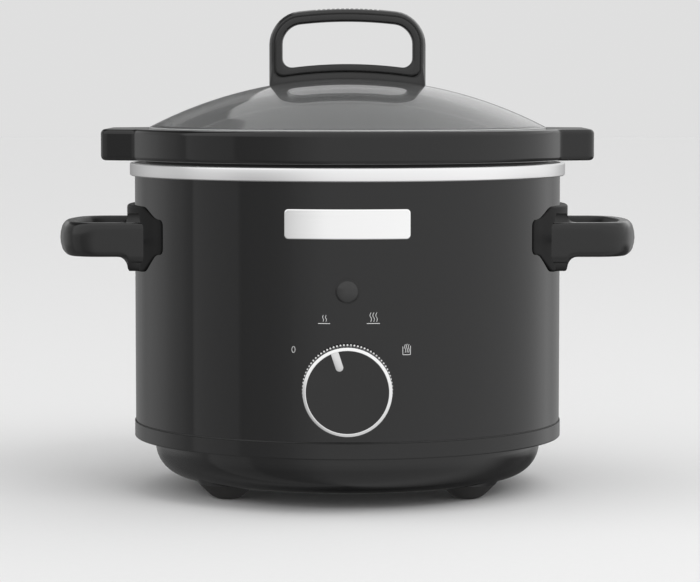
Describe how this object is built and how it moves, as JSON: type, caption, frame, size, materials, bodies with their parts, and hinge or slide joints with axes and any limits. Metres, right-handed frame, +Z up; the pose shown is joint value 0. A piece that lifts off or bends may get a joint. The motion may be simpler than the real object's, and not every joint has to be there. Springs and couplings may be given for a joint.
{
  "type": "slow cooker",
  "caption": "Round black countertop slow cooker: heating base with control knob and loop side handles, lift-out crock with lugs, domed glass lid with upright loop handle.",
  "frame": {"origin": "on the pot's axis at the level of the feet", "axes": "+Z up along the pot's axis, +X through the right-hand carrying handle, -Y towards the user, where the knob is"},
  "size_m": [0.281, 0.2418, 0.2347],
  "materials": {
    "lid_glass": "clear tempered glass",
    "handle_black": "satin black phenolic moulding",
    "crock_glaze": "gloss black glaze",
    "well_aluminium": "satin bright aluminium",
    "shell_black": "gloss black enamel",
    "base_black": "semi-gloss black moulding",
    "foot_rubber": "soft black rubber",
    "badge_metal": "bright satin plate",
    "lens_smoke": "dark smoked lens, unlit",
    "trim_black": "black moulding",
    "knob_chrome": "bright knurled ring",
    "knob_black": "satin black knob",
    "zinc_steel": "zinc plated steel",
    "contact_brass": "brass blades",
    "block_ceramic": "white steatite",
    "heater_mica": "mica and woven glass mat",
    "lead_sleeve": "glass-sleeved wire",
    "silicone": "silicone washer",
    "neon_glass": "neon envelope"
  },
  "bodies": {
    "base": {"heating_well": "well_aluminium", "outer_shell": "shell_black", "base_pan": "base_black", "foot_front_left": "foot_rubber", "foot_front_right": "foot_rubber", "foot_rear_left": "foot_rubber", "foot_rear_right": "foot_rubber", "left_handle": "handle_black", "right_handle": "handle_black", "handle_screws": "zinc_steel", "badge_plate": "badge_metal", "lamp_bezel": "trim_black", "lamp_lens": "lens_smoke", "lamp_clip": "zinc_steel", "neon_lamp": "neon_glass", "switch_housing": "trim_black", "switch_cover": "trim_black", "switch_nut": "zinc_steel", "switch_tabs": "contact_brass", "heater_mat": "heater_mica", "heater_strap": "zinc_steel", "clamp_screw": "zinc_steel", "clamp_nut": "zinc_steel", "heater_beads": "block_ceramic", "heater_leads": "lead_sleeve", "lamp_leads": "lead_sleeve", "feed_leads": "lead_sleeve", "thermal_fuse": "zinc_steel", "fuse_clip": "zinc_steel", "terminal_block": "block_ceramic", "block_screws": "contact_brass", "tie_stud": "zinc_steel", "tie_washer": "zinc_steel", "tie_nut": "zinc_steel", "earth_tag": "contact_brass", "earth_nut": "zinc_steel", "cord_inlet": "trim_black", "inlet_nut": "trim_black"},
    "crock": {"crock": "crock_glaze"},
    "lid": {"lid_glass": "lid_glass", "lid_handle": "handle_black", "lid_screw": "zinc_steel", "lid_washer": "silicone"},
    "knob": {"knob_ring": "knob_chrome", "knob_cap": "knob_black", "knob_pointer": "knob_chrome", "switch_shaft": "zinc_steel"}
  },
  "joints": [
    {"name": "crock_lift", "type": "slide", "parent": "base", "child": "crock", "axis": [0, 0, 1], "range_m": [0, 0.16]},
    {"name": "lid_lift", "type": "slide", "parent": "crock", "child": "lid", "axis": [0, 0, 1], "range_m": [0, 0.12]},
    {"name": "knob_turn", "type": "hinge", "parent": "base", "child": "knob", "pos_m": [0, -0.112, 0.059], "axis": [0, 1, 0], "range_deg": [-36, 72]}
  ]
}
